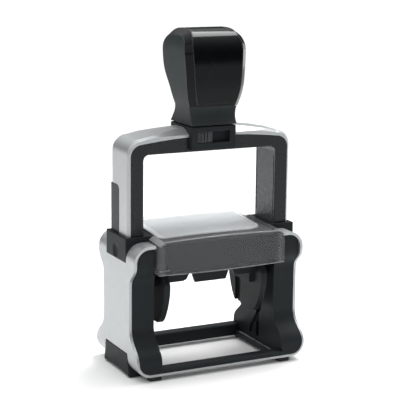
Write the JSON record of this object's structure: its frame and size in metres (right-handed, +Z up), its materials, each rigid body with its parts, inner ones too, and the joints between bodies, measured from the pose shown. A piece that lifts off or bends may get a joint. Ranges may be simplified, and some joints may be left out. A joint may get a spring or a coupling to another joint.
{
  "type": "self-inking stamp",
  "caption": "Self-inking hand stamp: bow with grip slides in a metal-sided frame and flips a text plate from the ink pad to the paper.",
  "frame": {"origin": "middle of the footprint, on the surface the stamp stands on", "axes": "+X across the stamp to its right, -Y to its front, +Z up along the stroke of the bow"},
  "size_m": [0.092, 0.052, 0.1663],
  "materials": {
    "black_plastic": "fine moulded satin",
    "bow_plastic": "fine moulded satin",
    "inlay_plastic": "satin",
    "slider_plastic": "satin, ribbed",
    "grip_matte": "soft-touch matte",
    "grip_gloss": "high gloss",
    "tray_plastic": "satin",
    "backing_plastic": "plain",
    "silver_sheet": "silver lacquer, satin",
    "bright_steel": "ground",
    "spring_steel": "drawn wire",
    "screw_steel": "zinc plated",
    "bush_brass": "turned",
    "foot_rubber": "matte",
    "plate_rubber": "laser-cut rubber",
    "pad_felt": "inked felt",
    "smoked_clear": "smoked clear plastic",
    "card_paper": "plain card, stands in for paper"
  },
  "bodies": {
    "frame": {"base_frame": "black_plastic", "base_plate": "silver_sheet", "base_screws": "screw_steel", "rubber_feet": "foot_rubber", "pad_bridge": "black_plastic", "left_cheek": "black_plastic", "right_cheek": "black_plastic", "left_side_band": "silver_sheet", "right_side_band": "silver_sheet", "left_collar": "black_plastic", "right_collar": "black_plastic", "left_foot_block": "black_plastic", "right_foot_block": "black_plastic", "left_window_strip": "silver_sheet", "right_window_strip": "silver_sheet", "left_spring_post": "bright_steel", "right_spring_post": "bright_steel", "left_return_spring": "spring_steel", "right_return_spring": "spring_steel"},
    "bow": {"bow_core": "bow_plastic", "grip_screws": "screw_steel", "lock_housing": "black_plastic", "grip_core": "grip_matte", "grip_shell": "grip_gloss", "grip_panel": "grip_gloss", "left_bow_trim": "silver_sheet", "right_bow_trim": "silver_sheet", "left_leg_inlay": "inlay_plastic", "right_leg_inlay": "inlay_plastic", "left_axle_bush": "bush_brass", "right_axle_bush": "bush_brass"},
    "lock_slider": {"lock_slider": "slider_plastic"},
    "plate_holder": {"plate_carrier": "black_plastic", "plate_backing": "backing_plastic", "text_plate": "plate_rubber", "left_end_plate": "black_plastic", "right_end_plate": "black_plastic", "left_axle_pin": "bright_steel", "right_axle_pin": "bright_steel", "left_cam_peg": "bright_steel", "right_cam_peg": "bright_steel"},
    "cartridge": {"cartridge_tray": "tray_plastic", "ink_pad": "pad_felt"},
    "hood": {"hood": "smoked_clear", "hood_liner": "black_plastic", "index_card": "card_paper"}
  },
  "joints": [
    {"name": "bow_press", "type": "slide", "parent": "frame", "child": "bow", "axis": [0, 0, -1], "range_m": [0, 0.036], "stiffness_N_per_m": 300, "springref_m": -0.03, "deforming": ["left_return_spring", "right_return_spring"]},
    {"name": "plate_flip", "type": "hinge", "parent": "bow", "child": "plate_holder", "pos_m": [0, 0, 0.044], "axis": [1, 0, 0], "range_deg": [0, 180]},
    {"name": "lock_slide", "type": "slide", "parent": "bow", "child": "lock_slider", "axis": [1, 0, 0], "range_m": [0, 0.009]},
    {"name": "cartridge_slide", "type": "slide", "parent": "frame", "child": "cartridge", "axis": [0, 1, 0], "range_m": [0, 0.04]},
    {"name": "hood_slide", "type": "slide", "parent": "frame", "child": "hood", "axis": [0, -1, 0], "range_m": [0, 0.03]}
  ],
  "couplings": [
    {"joint": "plate_flip", "follows": "bow_press", "rad_per_m": 87.26}
  ]
}
